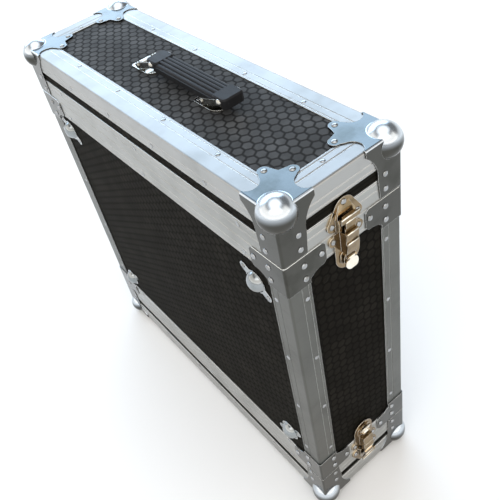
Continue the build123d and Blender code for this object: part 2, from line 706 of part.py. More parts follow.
def grip_pocket():
    """Space that a link's arm sweeps in the grip's side, from leaning to upright."""
    lean = math.atan2(LINK_RISE, LINK_RUN)
    room = LINK_HALF + POCKET_PLAY
    eye_room = LINK_EYE + POCKET_PLAY
    far = LINK_RUN + POCKET_END
    above = (-room * math.sin(lean), room * math.cos(lean))
    left = (above[0] - far * math.cos(lean), above[1] - far * math.sin(lean))
    low = [(left[0], -POCKET_LOW), (eye_room, -POCKET_LOW)]
    sweep = Polygon(above, left, *low, (eye_room, 0), align=None)
    return Pos(STUD_X, STUD_HEIGHT) * (sweep + Circle(eye_room))


def grip_section():
    """Section of the grip between its smooth ends: a bar with rounded ribs over an arched top."""
    half = GRIP_WIDTH / 2
    rising = [(half, GRIP_LOW), (half, GRIP_SHOULDER), (half / 2, GRIP_VALLEY)]
    section = Polygon(*rising, *[(-y, z) for y, z in reversed(rising)], align=None)
    outermost = (GRIP_RIBS - 1) / 2
    for rib in range(GRIP_RIBS):
        out = (rib - outermost) / outermost
        height = GRIP_HIGH - GRIP_RIB_RADIUS - GRIP_RIB_DROP * out**2
        section += Pos(out * outermost * GRIP_RIB_PITCH, height) * Circle(GRIP_RIB_RADIUS)
    return section


def handle_grip():
    """Moulded grip over both links: ribbed along its length, with smooth bevelled ends."""
    left = STUD_X - PIVOT_X - GRIP_OVERHANG + GRIP_CAP / 2
    right = STUD_X + PIVOT_X + GRIP_OVERHANG - GRIP_CAP / 2
    plan = Pos(0, 0, GRIP_LOW) * RectangleRounded(GRIP_CAP, GRIP_WIDTH, GRIP_CORNER)
    cap = extrude(plan, GRIP_HIGH - GRIP_LOW)
    cap = chamfer(cap.edges().group_by(Axis.Z)[-1], GRIP_BEVEL)
    body = across(grip_section(), left, right) + Pos(left, 0, 0) * cap + Pos(right, 0, 0) * cap
    inside = LINK_INSIDE - 6 * RUNNING
    for end in (-PIVOT_X, PIVOT_X):
        body -= Pos(end, 0, 0) * cheeks(grip_pocket(), inside, GRIP_WIDTH)
        body -= cross_rod(end + STUD_X, STUD_HEIGHT, STUD_RADIUS + PRESSED, GRIP_WIDTH)
    return body


def handle_pieces():
    """The handle's pieces on the upper lid."""
    ends = {"left": -PIVOT_X, "right": PIVOT_X}
    pieces = {"handle_grip": handle_grip()}
    for side, x in ends.items():
        pieces[f"handle_bracket_{side}"] = Pos(x, 0, 0) * handle_bracket()
        play = RUNNING if side == "left" else 6 * RUNNING
        pieces[f"handle_link_{side}"] = Pos(x, 0, 0) * handle_link(play)
    pieces["handle_pivot_pins"] = group([Pos(x, 0, 0) * handle_pivot_pin() for x in ends.values()])
    pieces["handle_studs"] = group([Pos(x, 0, 0) * handle_stud() for x in ends.values()])
    return {name: Pos(HANDLE_X, 0, Z_TOP) * piece for name, piece in pieces.items()}


def sleeve_pieces():
    """Everything that is fixed to the sleeve, apart from the latches."""
    broad, narrow = sleeve_panels()
    brace = Pos(HALF_W, HALF_T, Z_UPPER_PARTING) * corner_brace()
    braces = four_corners(brace)
    rail = rack_rail()
    other_rail = rail.mirror(Plane.YZ)
    frame = mitred_frame(mirror(sleeve_closing_section(), Plane.XZ), Z_UPPER_PARTING)
    return {
        "sleeve_panel_front": broad.mirror(Plane.XZ),
        "sleeve_panel_back": broad,
        "sleeve_panel_right": narrow,
        "sleeve_panel_left": narrow.mirror(Plane.YZ),
        "sleeve_edge_angles": sleeve_angles(),
        "sleeve_frame_top": frame,
        "sleeve_frame_bottom": lower(frame),
        "sleeve_braces_top": group(braces),
        "sleeve_braces_bottom": group([lower(one) for one in braces]),
        "domed_feet": domed_feet(),
        "rack_rail_top_right": rail,
        "rack_rail_top_left": other_rail,
        "rack_rail_bottom_right": lower(rail),
        "rack_rail_bottom_left": lower(other_rail),
    }


def lid_pieces():
    """Panels, extrusions and ball corners of the upper lid."""
    ball = Pos(HALF_W, HALF_T, Z_TOP) * ball_corner()
    return {
        "panel": lid_panel(),
        "walls": lid_walls(),
        "edge_angles": mitred_frame(angle_section(), Z_TOP),
        "frame": mitred_frame(lid_closing_section(), Z_UPPER_PARTING),
        "ball_corners": group(four_corners(ball)),
    }


def all_nodes():
    """Every node of the case, by name."""
    nodes = sleeve_pieces()
    for name, piece in lid_pieces().items():
        nodes[f"top_lid_{name}"] = piece
        nodes[f"bottom_lid_{name}"] = lower(piece)
    for name, piece in latch_pieces().items():
        left = piece.mirror(Plane.YZ)
        nodes[f"latch_top_right_{name}"] = piece
        nodes[f"latch_top_left_{name}"] = left
        nodes[f"latch_bottom_right_{name}"] = lower(piece)
        nodes[f"latch_bottom_left_{name}"] = lower(left)
    nodes.update(handle_pieces())
    return nodes


os.makedirs("parts", exist_ok=True)
for node, shape in all_nodes().items():
    export_step(shape, f"parts/{node}.step")
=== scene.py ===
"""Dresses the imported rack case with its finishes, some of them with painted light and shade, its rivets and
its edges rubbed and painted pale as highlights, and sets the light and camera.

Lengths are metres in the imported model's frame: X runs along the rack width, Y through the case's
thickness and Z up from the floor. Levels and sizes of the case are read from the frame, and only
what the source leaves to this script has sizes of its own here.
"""

import json
import logging
import math
from collections.abc import Iterable, Sequence
from dataclasses import dataclass, replace
from enum import Enum

import bmesh
import bpy
from mathutils import Euler, Matrix, Vector

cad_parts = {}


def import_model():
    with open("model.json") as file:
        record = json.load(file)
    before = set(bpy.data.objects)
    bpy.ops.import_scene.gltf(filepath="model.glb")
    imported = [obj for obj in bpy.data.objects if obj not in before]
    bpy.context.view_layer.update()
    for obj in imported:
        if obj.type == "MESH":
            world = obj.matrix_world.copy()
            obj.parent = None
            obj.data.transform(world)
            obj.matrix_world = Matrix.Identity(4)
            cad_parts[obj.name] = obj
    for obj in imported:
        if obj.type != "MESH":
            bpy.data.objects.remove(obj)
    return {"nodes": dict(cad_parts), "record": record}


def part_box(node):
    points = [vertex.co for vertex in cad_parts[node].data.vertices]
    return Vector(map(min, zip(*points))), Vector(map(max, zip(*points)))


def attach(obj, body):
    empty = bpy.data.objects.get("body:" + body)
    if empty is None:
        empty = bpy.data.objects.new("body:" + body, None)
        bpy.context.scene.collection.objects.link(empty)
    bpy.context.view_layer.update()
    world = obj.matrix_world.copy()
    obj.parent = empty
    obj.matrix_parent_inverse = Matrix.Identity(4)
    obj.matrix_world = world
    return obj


LOG = logging.getLogger("rack_case")
MM = 0.001
WELD = 1e-6

Span = tuple[float, float]
Triple = tuple[float, float, float]
Colour = Triple
Socket = bpy.types.NodeSocket
Finishes = dict[str, bpy.types.Material]

# Signs of X and Y at the four long edges of the case.
EDGES = ((1.0, 1.0), (1.0, -1.0), (-1.0, 1.0), (-1.0, -1.0))


class Facing(Enum):
    """Direction that a surface of the case faces."""

    RIGHT = (1.0, 0.0, 0.0)
    LEFT = (-1.0, 0.0, 0.0)
    BACK = (0.0, 1.0, 0.0)
    FRONT = (0.0, -1.0, 0.0)
    UP = (0.0, 0.0, 1.0)
    DOWN = (0.0, 0.0, -1.0)

    @classmethod
    def toward(cls, axis: str, sign: float) -> "Facing":
        """The direction along an axis, forwards where the sign is positive and backwards where it isn't."""
        ways = {"X": (cls.RIGHT, cls.LEFT), "Y": (cls.BACK, cls.FRONT), "Z": (cls.UP, cls.DOWN)}
        return ways[axis][0 if sign > 0 else 1]

    @property
    def vector(self) -> Vector:
        """The direction as a vector."""
        return Vector(self.value)


class BoardPlane(Enum):
    """Plane that a laminated board lies in, as the axes of its row direction and its other one."""

    LEVEL = ("Y", "X")
    BROAD = ("Z", "X")
    NARROW = ("Z", "Y")


class NodeGraph:
    """A node tree, with short calls for the nodes that the finishes and the sky share."""

    def __init__(self, tree: bpy.types.NodeTree) -> None:
        """Keeps the tree.

        Args:
            tree: The tree that the nodes go into.
        """
        self.tree = tree

    def node(self, kind: str, **settings: object) -> bpy.types.Node:
        """Adds a node and sets its properties.

        Args:
            kind: The node's type name.
            **settings: Properties of the node by name.

        Returns:
            The new node.
        """
        made = self.tree.nodes.new(kind)
        for key, value in settings.items():
            setattr(made, key, value)
        return made

    def feed(self, target: Socket, value: object) -> None:
        """Links a socket to a target, or sets the target's value.

        Args:
            target: The input socket.
            value: Another socket, a number or a tuple.
        """
        if isinstance(value, Socket):
            self.tree.links.new(value, target)
        else:
            target.default_value = value

    def spread(self, value: Socket, low: float, high: float, span: Span = (0.0, 1.0)) -> Socket:
        """Maps a value from a span to new limits, with soft ends.

        Args:
            value: The value to map.
            low: Result at the start of the span.
            high: Result at the end of the span.
            span: The values that give low and high.

        Returns:
            The result socket.
        """
        made = self.node("ShaderNodeMapRange", interpolation_type="SMOOTHSTEP")
        for socket, number in zip(("From Min", "From Max", "To Min", "To Max"), (*span, low, high)):
            made.inputs[socket].default_value = number
        self.feed(made.inputs["Value"], value)
        return made.outputs["Result"]

    def blend(self, share: object, first: object, second: object) -> Socket:
        """Mixes two colours.

        Args:
            share: Share of the second colour.
            first: Colour where the share is 0.
            second: Colour where the share is 1.

        Returns:
            The colour socket.
        """
        made = self.node("ShaderNodeMix", data_type="RGBA")
        self.feed(made.inputs["Factor"], share)
        colours = [socket for socket in made.inputs if socket.type == "RGBA"]
        for socket, colour in zip(colours, (first, second)):
            self.feed(socket, colour if isinstance(colour, Socket) else (*colour, 1.0))
        return next(socket for socket in made.outputs if socket.type == "RGBA")

    def compute(self, operation: str, first: object, second: object) -> Socket:
        """One step of arithmetic.

        Args:
            operation: Name of the math node's operation.
            first: First number or socket.
            second: Second number or socket.

        Returns:
            The result socket.
        """
        made = self.node("ShaderNodeMath", operation=operation)
        self.feed(made.inputs[0], first)
        self.feed(made.inputs[1], second)
        return made.outputs[0]

    def vector(self, operation: str, *values: object, output: str = "Vector") -> Socket:
        """One step of vector arithmetic.

        Args:
            operation: Name of the vector math node's operation.
            *values: Vectors or sockets, in the node's order.
            output: Name of the output that holds the result.

        Returns:
            The result socket.
        """
        made = self.node("ShaderNodeVectorMath", operation=operation)
        for socket, value in zip(made.inputs, values):
            self.feed(socket, value)
        return made.outputs[output]

    def scaled(self, vector: object, factor: object) -> Socket:
        """A vector times a number.

        Args:
            vector: Vector or socket.
            factor: Number or socket.

        Returns:
            The vector socket.
        """
        made = self.node("ShaderNodeVectorMath", operation="SCALE")
        self.feed(made.inputs["Vector"], vector)
        self.feed(made.inputs["Scale"], factor)
        return made.outputs["Vector"]

    def axes(self, vector: Socket) -> dict[str, Socket]:
        """Takes a vector apart.

        Args:
            vector: The vector socket.

        Returns:
            The sockets of its parts, under X, Y and Z.
        """
        made = self.node("ShaderNodeSeparateXYZ")
        self.feed(made.inputs["Vector"], vector)
        return {socket.name: socket for socket in made.outputs}


class SurfaceGraph(NodeGraph):
    """The node tree of a new material with its principled shader."""

    def __init__(self, name: str) -> None:
        """Starts the material.

        Args:
            name: The material's name.
        """
        self.material = bpy.data.materials.new(name)
        self.material.use_nodes = True
        super().__init__(self.material.node_tree)
        self.shader = self.tree.nodes["Principled BSDF"]

    def set(self, socket: str, value: object) -> None:
        """Feeds a socket of the principled shader.

        Args:
            socket: The socket's name.
            value: Another socket, a number or a tuple.
        """
        self.feed(self.shader.inputs[socket], value)

    def place(self, scale: Triple = (1.0, 1.0, 1.0)) -> Socket:
        """Object coordinates, scaled.

        Args:
            scale: Factors along the three axes.

        Returns:
            The vector socket.
        """
        source = self.node("ShaderNodeTexCoord").outputs["Object"]
        mapping = self.node("ShaderNodeMapping")
        self.feed(mapping.inputs["Vector"], source)
        mapping.inputs["Scale"].default_value = scale
        return mapping.outputs["Vector"]

    def noise_at(self, place: Socket, scale: float, octaves: float) -> Socket:
        """Noise at a place.

        Args:
            place: Socket of the place.
            scale: Waves per unit of the place.
            octaves: Octaves.

        Returns:
            The value socket, from 0 to 1.
        """
        made = self.node("ShaderNodeTexNoise")
        self.feed(made.inputs["Vector"], place)
        made.inputs["Scale"].default_value = scale
        made.inputs["Detail"].default_value = octaves
        return made.outputs["Fac"]

    def noise(self, scale: float, octaves: float, stretch: Triple = (1.0, 1.0, 1.0)) -> Socket:
        """Noise over the surface, in waves per metre, stretched along the three axes by factors."""
        return self.noise_at(self.place(stretch), scale, octaves)

    def upward(self, span: Span) -> Socket:
        """How far the surface faces up.

        Args:
            span: Z of the normal that gives 0, and the one that gives 1.

        Returns:
            The share socket.
        """
        normal = self.node("ShaderNodeNewGeometry").outputs["Normal"]
        return self.spread(self.axes(normal)["Z"], 0.0, 1.0, span)

    def soften(self, radius: float, turns: Span = (40.0, 8.0), samples: int = 8) -> Socket:
        """Rounds the edges in the shading, so that they catch the light.

        Args:
            radius: Radius of the edges.
            turns: Degrees that the softened normal is turned by on an edge, and at most on a face.
            samples: Samples of the rounding.

        Returns:
            The share of an edge, 0 on the faces and 1 on a right-angled edge.
        """
        bevel = self.node("ShaderNodeBevel", samples=samples)
        bevel.inputs["Radius"].default_value = radius
        self.set("Normal", bevel.outputs["Normal"])
        flat = self.node("ShaderNodeNewGeometry").outputs["Normal"]
        likeness = self.vector("DOT_PRODUCT", bevel.outputs["Normal"], flat, output="Value")
        edge, face = (math.cos(math.radians(turn)) for turn in turns)
        return self.spread(likeness, 1.0, 0.0, (edge, face))

    def relief(self, height: Socket, depth: float, strength: float = 1.0) -> None:
        """Bump from a height, added under the bumps made so far.

        Args:
            height: Height from 0 to 1.
            depth: Real depth in metres.
            strength: Strength of the bump.
        """
        bump = self.node("ShaderNodeBump")
        bump.inputs["Strength"].default_value = strength
        bump.inputs["Distance"].default_value = depth
        self.feed(bump.inputs["Height"], height)
        normal = self.shader.inputs["Normal"]
        if normal.is_linked:
            self.feed(bump.inputs["Normal"], normal.links[0].from_socket)
        self.feed(normal, bump.outputs["Normal"])


@dataclass(frozen=True)
class Laminate:
    """Black phenolic laminate with the rounded hexagon texture of a non-slip board."""

    plane: BoardPlane
    cell: Colour
    groove: Colour
    gloss: float
    roughness: Span
    pitch: float = 12.0 * MM
    offset: Triple = (5.7 * MM, 2.8 * MM, 0.0)
    corner: float = 0.1
    edge: Span = (0.33, 0.47)
    relief_depth: float = 0.2 * MM
    paler: float = 1.9
    odd_scale: float = 1.7
    odd_share: float = 0.4
    odd_span: Span = (0.35, 0.7)
    dust_scale: float = 30.0
    dust_share: float = 0.6
    dust_span: Span = (0.45, 0.7)
    gloss_span: Span = (0.0, 1.6)
    grain_scale: float = 900.0
    grain_depth: float = 0.03 * MM
    grain_strength: float = 0.6

    def material(self) -> bpy.types.Material:
        """Builds the laminate's material: raised cells, some of them paler, dust and a fine grain.

        Returns:
            The material.
        """
        graph = SurfaceGraph(f"laminate_{self.plane.name.lower()}")
        distance, middle = self.cells(graph)
        raised = graph.spread(distance, 1.0, 0.0, self.edge)
        odd = graph.noise_at(middle, self.odd_scale, octaves=1.0)
        dust = graph.noise(self.dust_scale, octaves=6.0)
        share = graph.compute(
            "ADD",
            graph.spread(odd, 0.0, self.odd_share, self.odd_span),
            graph.spread(dust, 0.0, self.dust_share, self.dust_span),
        )
        tone = graph.blend(share, self.cell, tuple(self.paler * c for c in self.cell))
        graph.set("Base Color", graph.blend(raised, self.groove, tone))
        low, high = self.roughness
        graph.set("Roughness", graph.spread(graph.compute("ADD", raised, dust), high, low, self.gloss_span))
        graph.set("Specular IOR Level", self.gloss)
        graph.relief(raised, self.relief_depth)
        graph.relief(graph.noise(self.grain_scale, octaves=3.0), self.grain_depth, self.grain_strength)
        return graph.material

    def cells(self, graph: SurfaceGraph) -> tuple[Socket, Socket]:
        """Distance from the nearest cell's middle, 0 there and 0.5 at its edges, and that middle.

        Args:
            graph: The material's node tree.

        Returns:
            The sockets of the distance and of the middle, in cell pitches.
        """
        high = (0.5, math.sqrt(3.0) / 2, 0.5)
        low = tuple(-h for h in high)
        parts = graph.axes(graph.scaled(graph.vector("SUBTRACT", graph.place(), self.offset), 1.0 / self.pitch))
        joined = graph.node("ShaderNodeCombineXYZ")
        for target, axis in zip(("X", "Y"), self.plane.value):
            graph.feed(joined.inputs[target], parts[axis])
        flat = joined.outputs["Vector"]
        first = graph.vector("WRAP", flat, high, low)
        second = graph.vector("WRAP", graph.vector("ADD", flat, (high[0], high[1], 0.0)), high, low)
        lengths = [graph.vector("LENGTH", way, output="Value") for way in (first, second)]
        nearer = graph.compute("LESS_THAN", *lengths)
        choice = graph.node("ShaderNodeMix", data_type="VECTOR")
        graph.feed(choice.inputs["Factor"], nearer)
        ends = [socket for socket in choice.inputs if socket.type == "VECTOR" and socket.name in "AB"]
        graph.feed(ends[0], second)
        graph.feed(ends[1], first)
        offset = next(socket for socket in choice.outputs if socket.type == "VECTOR")
        folded = graph.vector("ABSOLUTE", offset)
        slanted = graph.vector("DOT_PRODUCT", folded, (0.5, math.sqrt(0.75), 0.0), output="Value")
        rounded = graph.node("ShaderNodeMath", operation="SMOOTH_MAX")
        for socket, value in zip(rounded.inputs, (slanted, graph.axes(folded)["X"], self.corner)):
            graph.feed(socket, value)
        return rounded.outputs[0], graph.vector("SUBTRACT", flat, offset)


@dataclass(frozen=True)
class BallHighlight:
    """Painted highlight of the ball corners: the plating is painted bright on the tops of the balls and on the
    sloped folds, as a reflection of the bright sky, and left dull below.
    """

    centre: Vector
    middle: float
    radius: float = 19.0 * MM
    rim: float = 0.3 * MM
    # Colour of the painted highlight. Below it are the roughness there and the spans of the up-facing faces
    # that get it.
    tone: Colour = (0.6, 0.65, 0.7)
    roughness: float = 0.24
    facing: Span = (0.02, 0.62)
    fold_start: Span = (0.2, 0.45)
    fold_end: Span = (0.88, 0.98)

    @classmethod
    def from_frame(cls) -> "BallHighlight":
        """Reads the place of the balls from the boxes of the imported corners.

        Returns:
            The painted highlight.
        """
        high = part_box("top_lid_ball_corners")[1]
        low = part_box("bottom_lid_ball_corners")[0]
        return cls(centre=high - Vector((cls.radius, cls.radius, cls.radius)), middle=(high.z + low.z) / 2)

    def share(self, graph: SurfaceGraph) -> Socket:
        """How far a point gets the painted highlight, 0 on the plates and 1 on their folds and the tops of the
        balls.

        Args:
            graph: The material's node tree.

        Returns:
            The share socket.
        """
        folded = graph.vector("ABSOLUTE", graph.vector("SUBTRACT", graph.place(), (0.0, 0.0, self.middle)))
        corner = (self.centre.x, self.centre.y, self.centre.z - self.middle)
        reach = graph.vector("DISTANCE", folded, corner, output="Value")
        ball = graph.spread(reach, 1.0, 0.0, (self.radius + self.rim, self.radius + 2 * self.rim))
        rounded = graph.compute("MULTIPLY", ball, graph.upward(self.facing))
        level_off = graph.compute("SUBTRACT", 1.0, graph.upward(self.fold_end))
        fold = graph.compute("MULTIPLY", graph.upward(self.fold_start), level_off)
        return graph.compute("MAXIMUM", rounded, fold)


@dataclass(frozen=True)
class Metal:
    """Bare or plated metal with patchy gloss, a fine grain and faint handling marks.

    Faces that look up have their colour multiplied by a factor of their own: painted light or painted shade on
    the tops, after how the light falls, not a colour of the metal.
    """

    name: str
    tone: Colour
    stain: Colour
    roughness: Span
    patch: float
    grain: float
    grain_depth: float
    grain_stretch: Triple = (1.0, 1.0, 1.0)
    edge_radius: float = 0.6 * MM
    # Colour of the rounded edges: partly rubbed wear, partly painted highlight where the edges would catch the
    # light.
    edge_wear_and_highlight: Colour = (0.8, 0.8, 0.78)
    # Factor for the faces that look up, and the span of their facing: painted light or painted shade on the
    # tops.
    painted_top_shading: Colour | None = None
    painted_top_facing: Span = (0.6, 0.95)
    stain_span: Span = (0.45, 0.72)
    scuff_scale: float = 6.0
    scuff_stretch: Triple = (1.0, 0.35, 2.2)
    scuff_span: Span = (0.5, 0.8)
    scuff_roughness: float = 0.07

    def material(self, ball_highlight: BallHighlight | None = None) -> bpy.types.Material:
        """Builds the metal's material.

        Args:
            ball_highlight: Painted highlight of the ball corners, for the metal that has them.

        Returns:
            The material.
        """
        graph = SurfaceGraph(self.name)
        patches = graph.noise(self.patch, octaves=5.0)
        graph.set("Metallic", 1.0)
        face = graph.blend(graph.spread(patches, 0.0, 1.0, self.stain_span), self.tone, self.stain)
        # Painted light or painted shade on the faces that look up.
        if self.painted_top_shading is not None:
            painted_top_colour = graph.vector("MULTIPLY", face, self.painted_top_shading)
            face = graph.blend(graph.upward(self.painted_top_facing), face, painted_top_colour)
        # Painted highlight on the tops of the balls and on the sloped folds, which are also rougher.
        if ball_highlight is not None:
            share = ball_highlight.share(graph)
            face = graph.blend(share, face, ball_highlight.tone)
        # Edges blended to a pale colour: rubbed wear and painted highlight.
        graph.set("Base Color", graph.blend(graph.soften(self.edge_radius), face, self.edge_wear_and_highlight))
        scuffs = graph.noise(self.patch * self.scuff_scale, octaves=8.0, stretch=self.scuff_stretch)
        scuffed = graph.spread(scuffs, 0.0, self.scuff_roughness, self.scuff_span)
        rough = graph.compute("ADD", graph.spread(patches, *self.roughness), scuffed)
        if ball_highlight is not None:
            rough = graph.compute("MAXIMUM", rough, graph.spread(share, 0.0, ball_highlight.roughness))
        graph.set("Roughness", rough)
        graph.relief(graph.noise(self.grain, octaves=2.0, stretch=self.grain_stretch), self.grain_depth)
        return graph.material


@dataclass(frozen=True)
class GripPlastic:
    """Satin black moulded plastic of the handle's grip."""

    tone: Colour = (0.012, 0.012, 0.013)
    scuffed: Colour = (0.03, 0.03, 0.032)
    roughness: Span = (0.36, 0.52)
    gloss: float = 0.14
    mark_scale: float = 140.0
    mark_stretch: Triple = (0.4, 1.0, 1.0)
    mark_share: float = 0.8
    mark_span: Span = (0.55, 0.8)
    grain_scale: float = 1500.0
    grain_depth: float = 0.02 * MM
    grain_strength: float = 0.5

    def material(self) -> bpy.types.Material:
        """Builds the grip's material: scuff marks along the ribs and a moulded grain.

        Returns:
            The material.
        """
        graph = SurfaceGraph("grip_plastic")
        marks = graph.noise(self.mark_scale, octaves=6.0, stretch=self.mark_stretch)
        worn = graph.spread(marks, 0.0, self.mark_share, self.mark_span)
        graph.set("Base Color", graph.blend(worn, self.tone, self.scuffed))
        graph.set("Roughness", graph.spread(marks, *self.roughness))
        graph.set("Specular IOR Level", self.gloss)
        graph.relief(graph.noise(self.grain_scale, octaves=2.0), self.grain_depth, self.grain_strength)
        return graph.material


@dataclass(frozen=True)
class FloorPaint:
    """Plain pale floor."""

    tone: Colour = (0.8, 0.792, 0.78)
    roughness: float = 0.9
    gloss: float = 0.1

    def material(self) -> bpy.types.Material:
        """Builds the floor's material.

        Returns:
            The material.
        """
        graph = SurfaceGraph("pale_floor")
        graph.set("Base Color", (*self.tone, 1.0))
        graph.set("Roughness", self.roughness)
        graph.set("Specular IOR Level", self.gloss)
        return graph.material


# One laminate in three copies: the lid boards' cells are painted much paler, as painted light on the tops, and
# the broad and narrow sides darker, as painted shade.
LIT_LID_BOARD = Laminate(
    plane=BoardPlane.LEVEL,
    cell=(0.044, 0.045, 0.046),
    groove=(0.018, 0.018, 0.018),
    gloss=0.025,
    roughness=(0.42, 0.62),
)
SHADED_BROAD_BOARD = Laminate(
    plane=BoardPlane.BROAD,
    cell=(0.0082, 0.0074, 0.0058),
    groove=(0.006, 0.0055, 0.0044),
    gloss=0.02,
    roughness=(0.6, 0.75),
    relief_depth=0.1 * MM,
)
# The narrow sides are painted a shade darker still.
SHADED_NARROW_BOARD = replace(
    SHADED_BROAD_BOARD,
    plane=BoardPlane.NARROW,
    cell=(0.0074, 0.0066, 0.0052),
    groove=(0.0054, 0.005, 0.004),
    gloss=0.015,
)
# Much darker copy of the extrusion, for the sleeve's edge angles: painted shade on those sides.
SHADED_EXTRUSION = Metal(
    name="shaded_extruded_aluminium",
    tone=(0.12, 0.121, 0.111),
    stain=(0.095, 0.096, 0.088),
    roughness=(0.28, 0.42),
    patch=16.0,
    grain=700.0,
    grain_depth=0.012 * MM,
    grain_stretch=(0.15, 0.15, 1.0),
)
CLOSING_EXTRUSION = replace(
    SHADED_EXTRUSION,
    name="closing_extrusion",
    tone=(0.36, 0.36, 0.345),
    stain=(0.3, 0.3, 0.285),
    roughness=(0.28, 0.4),
    edge_radius=1.0 * MM,
    # Its edges are painted near white: rubbed wear and painted highlight.
    edge_wear_and_highlight=(0.97, 0.97, 0.95),
)
# Tops are painted darker than the sides: painted shade on the faces that look up.
EXTRUSION = replace(
    CLOSING_EXTRUSION,
    name="extruded_aluminium",
    tone=(0.38, 0.38, 0.37),
    stain=(0.32, 0.322, 0.31),
    painted_top_shading=(0.78, 0.77, 0.77),
)
# Much lighter copy of the zinc plating, for the domed feet: painted highlight, as a reflection of a bright sky.
ZINC_WITH_PAINTED_HIGHLIGHT = Metal(
    name="zinc_with_painted_highlight",
    tone=(0.34, 0.36, 0.37),
    stain=(0.25, 0.27, 0.27),
    roughness=(0.1, 0.2),
    patch=38.0,
    grain=500.0,
    grain_depth=0.01 * MM,
)
# Dark tone for the faces that look sideways, with painted bluish light, like a reflected sky, on the faces that
# look up.
ZINC = replace(
    ZINC_WITH_PAINTED_HIGHLIGHT,
    name="zinc_plated_steel",
    tone=(0.076, 0.075, 0.068),
    stain=(0.054, 0.054, 0.047),
    roughness=(0.08, 0.2),
    painted_top_shading=(1.65, 1.9, 2.2),
)
RAIL_ZINC = Metal(
    name="rail_zinc",
    tone=(0.36, 0.37, 0.38),
    stain=(0.28, 0.29, 0.29),
    roughness=(0.32, 0.46),
    patch=22.0,
    grain=600.0,
    grain_depth=0.01 * MM,
)
RIVET_STEEL = Metal(
    name="rivet_steel",
    tone=(0.36, 0.37, 0.38),
    stain=(0.25, 0.25, 0.24),
    roughness=(0.12, 0.22),
    patch=120.0,
    grain=900.0,
    grain_depth=0.006 * MM,
)
HANDLE_STEEL = Metal(
    name="handle_steel",
    tone=(0.52, 0.51, 0.47),
    stain=(0.36, 0.34, 0.29),
    roughness=(0.12, 0.24),
    patch=90.0,
    grain=700.0,
    grain_depth=0.008 * MM,
)
# Dark tone for the faces that look sideways, with a painted highlight on the faces that look partly up, such as
# the slopes of the latch's hood.
NICKEL = replace(
    HANDLE_STEEL,
    name="nickel_plated_steel",
    tone=(0.25, 0.185, 0.11),
    stain=(0.16, 0.115, 0.062),
    roughness=(0.1, 0.22),
    painted_top_shading=(2.9, 3.0, 3.1),
    painted_top_facing=(0.05, 0.4),
)
# Near-white steel for painted highlights on the latch's edges and wings.
EDGE_HIGHLIGHT = replace(
    HANDLE_STEEL,
    name="painted_edge_highlight",
    tone=(0.9, 0.85, 0.74),
    stain=(0.8, 0.72, 0.58),
    roughness=(0.16, 0.26),
    grain_depth=0.004 * MM,
)
# Near-white zinc for the painted highlights along the braces' upper edges.
ZINC_HIGHLIGHT = replace(
    EDGE_HIGHLIGHT,
    name="painted_zinc_highlight",
    tone=(0.85, 0.87, 0.86),
    stain=(0.72, 0.74, 0.72),
    roughness=(0.2, 0.3),
)


def make_mesh(name: str, shape: bmesh.types.BMesh) -> bpy.types.Mesh:
    """Turns a bmesh into a mesh, and frees it.

    Args:
        name: The mesh's name.
        shape: The bmesh.

    Returns:
        The mesh.
    """
    mesh = bpy.data.meshes.new(name)
    shape.to_mesh(mesh)
    shape.free()
    return mesh


def add_object(name: str, data: bpy.types.ID) -> bpy.types.Object:
    """Adds an object to the scene.

    Args:
        name: The object's name.
        data: Its mesh, curve or camera.

    Returns:
        The object.
    """
    made = bpy.data.objects.new(name, data)
    bpy.context.scene.collection.objects.link(made)
    return made


@dataclass(frozen=True)
class CaseSizes:
    """Levels and half sizes of the case, over its extrusions."""

    half_width: float
    half_thickness: float
    top: float
    bottom: float
    upper_parting: float
    lower_parting: float
    steel: float
    closing_offset: float = 5.0 * MM
    closing_pitch: float = 190.0 * MM

    @classmethod
    def from_frame(cls) -> "CaseSizes":
        """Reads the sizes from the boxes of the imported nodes.

        Returns:
            The sizes.
        """
        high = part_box("top_lid_edge_angles")[1]
        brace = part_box("sleeve_braces_top")[1]
        return cls(
            half_width=high.x,
            half_thickness=high.y,
            top=high.z,
            bottom=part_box("bottom_lid_edge_angles")[0].z,
            upper_parting=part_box("top_lid_frame")[0].z,
            lower_parting=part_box("bottom_lid_frame")[1].z,
            steel=brace.x - high.x,
        )

    def pair(self, side: float, front: float, across: float, z: float, proud: float) -> Iterable["Spot"]:
        """The same spot on the two faces that meet in a long edge.

        Args:
            side: Sign of X.
            front: Sign of Y.
            across: Distance from the edge.
            z: Level.
            proud: Height of the seat over the extrusions.

        Returns:
            The spot on the broad side, then the one on the narrow side.
        """
        broad = Vector((side * (self.half_width - across), front * (self.half_thickness + proud), z))
        narrow = Vector((side * (self.half_width + proud), front * (self.half_thickness - across), z))
        yield Spot(broad, Facing.toward("Y", front))
        yield Spot(narrow, Facing.toward("X", side))

    def closing_spots(self, level: float) -> Iterable["Spot"]:
        """Rivets of a closing extrusion, on its two broad sides.

        Args:
            level: Level of the rivets.

        Returns:
            The rivets' places.
        """
        for step in (-1.0, 0.0, 1.0):
            x = self.closing_offset + step * self.closing_pitch
            yield Spot(Vector((x, self.half_thickness, level)), Facing.BACK)
            yield Spot(Vector((x, -self.half_thickness, level)), Facing.FRONT)


